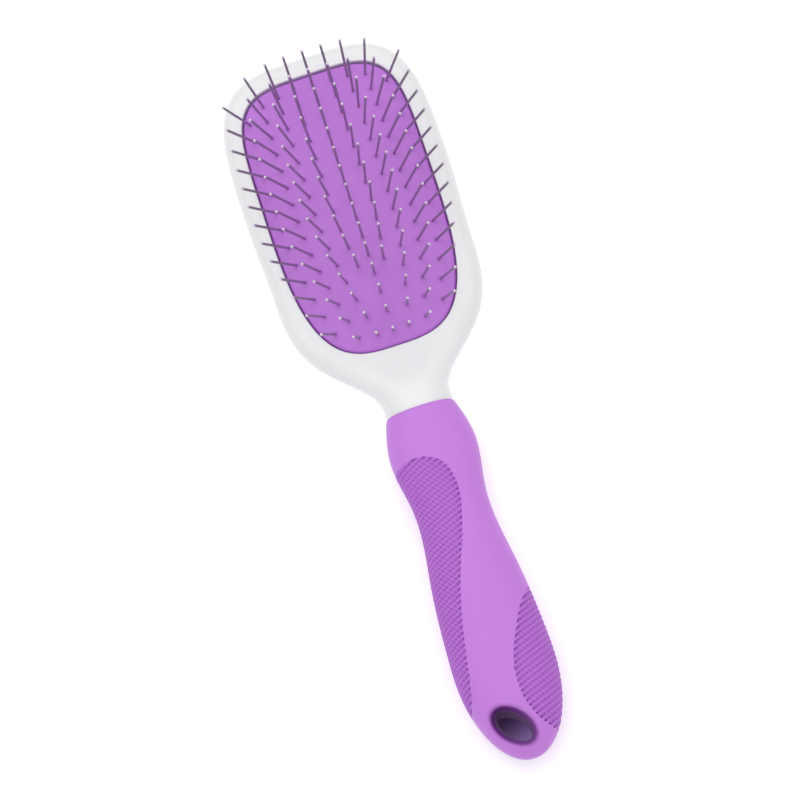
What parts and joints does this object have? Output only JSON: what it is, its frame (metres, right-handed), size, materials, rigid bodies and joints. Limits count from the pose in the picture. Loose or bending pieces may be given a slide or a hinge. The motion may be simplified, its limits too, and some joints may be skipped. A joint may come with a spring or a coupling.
{
  "type": "pin brush",
  "caption": "Flat-backed grooming brush: domed rubber air cushion with splayed steel pins, white head and neck, soft rubber grip with ribbed panels and a hang hole.",
  "frame": {"origin": "under the middle of the brush's overall box, on the surface it lies on, with the brush on its back", "axes": "+Y along the brush from the end of the handle to the tip of the head, +Z the way the pins point, X across the head"},
  "size_m": [0.0674, 0.235, 0.0355],
  "materials": {
    "white_plastic": "smooth white moulding, softly glossy",
    "cushion_rubber": "purple rubber, satin",
    "pin_steel": "drawn steel wire with polished rounded tips",
    "grip_rubber": "purple soft-touch rubber, matt",
    "panel_rubber": "darker purple rubber, finely ribbed"
  },
  "bodies": {
    "brush_body": {"head_body": "white_plastic", "cushion": "cushion_rubber", "grip": "grip_rubber", "grip_panel_left": "panel_rubber", "grip_panel_right": "panel_rubber"},
    "pins_crown": {"pins_column_5_middle": "pin_steel", "pins_column_4_middle": "pin_steel", "pins_column_6_middle": "pin_steel", "pins_column_4_neck": "pin_steel", "pins_column_6_neck": "pin_steel", "pins_column_3_middle": "pin_steel", "pins_column_7_middle": "pin_steel"},
    "pins_upper_slope": {"pins_column_5_tip": "pin_steel", "pins_column_3_tip": "pin_steel", "pins_column_7_tip": "pin_steel", "pins_column_2_middle": "pin_steel", "pins_column_8_middle": "pin_steel"},
    "pins_lower_slope": {"pins_column_5_neck": "pin_steel", "pins_column_4_tip": "pin_steel", "pins_column_6_tip": "pin_steel", "pins_column_3_neck": "pin_steel", "pins_column_7_neck": "pin_steel", "pins_column_2_tip": "pin_steel", "pins_column_8_tip": "pin_steel", "pins_column_2_neck": "pin_steel", "pins_column_8_neck": "pin_steel"},
    "pins_edge": {"pins_column_1_neck": "pin_steel", "pins_column_1_middle": "pin_steel", "pins_column_1_tip": "pin_steel", "pins_column_9_neck": "pin_steel", "pins_column_9_middle": "pin_steel", "pins_column_9_tip": "pin_steel"}
  },
  "joints": [
    {"name": "pins_crown_sink", "type": "slide", "parent": "brush_body", "child": "pins_crown", "axis": [0, 0, -1], "range_m": [0, 0.0025], "stiffness_N_per_m": 1500, "springref_m": -0.0003, "deforming": ["cushion"]},
    {"name": "pins_upper_slope_sink", "type": "slide", "parent": "brush_body", "child": "pins_upper_slope", "axis": [0, 0, -1], "range_m": [0, 0.0018], "stiffness_N_per_m": 1000, "springref_m": -0.0003},
    {"name": "pins_lower_slope_sink", "type": "slide", "parent": "brush_body", "child": "pins_lower_slope", "axis": [0, 0, -1], "range_m": [0, 0.00143], "stiffness_N_per_m": 1000, "springref_m": -0.0003},
    {"name": "pins_edge_sink", "type": "slide", "parent": "brush_body", "child": "pins_edge", "axis": [0, 0, -1], "range_m": [0, 0.00075], "stiffness_N_per_m": 500, "springref_m": -0.0003}
  ],
  "couplings": [
    {"joint": "pins_upper_slope_sink", "follows": "pins_crown_sink", "ratio": 0.72},
    {"joint": "pins_lower_slope_sink", "follows": "pins_crown_sink", "ratio": 0.57},
    {"joint": "pins_edge_sink", "follows": "pins_crown_sink", "ratio": 0.3}
  ]
}
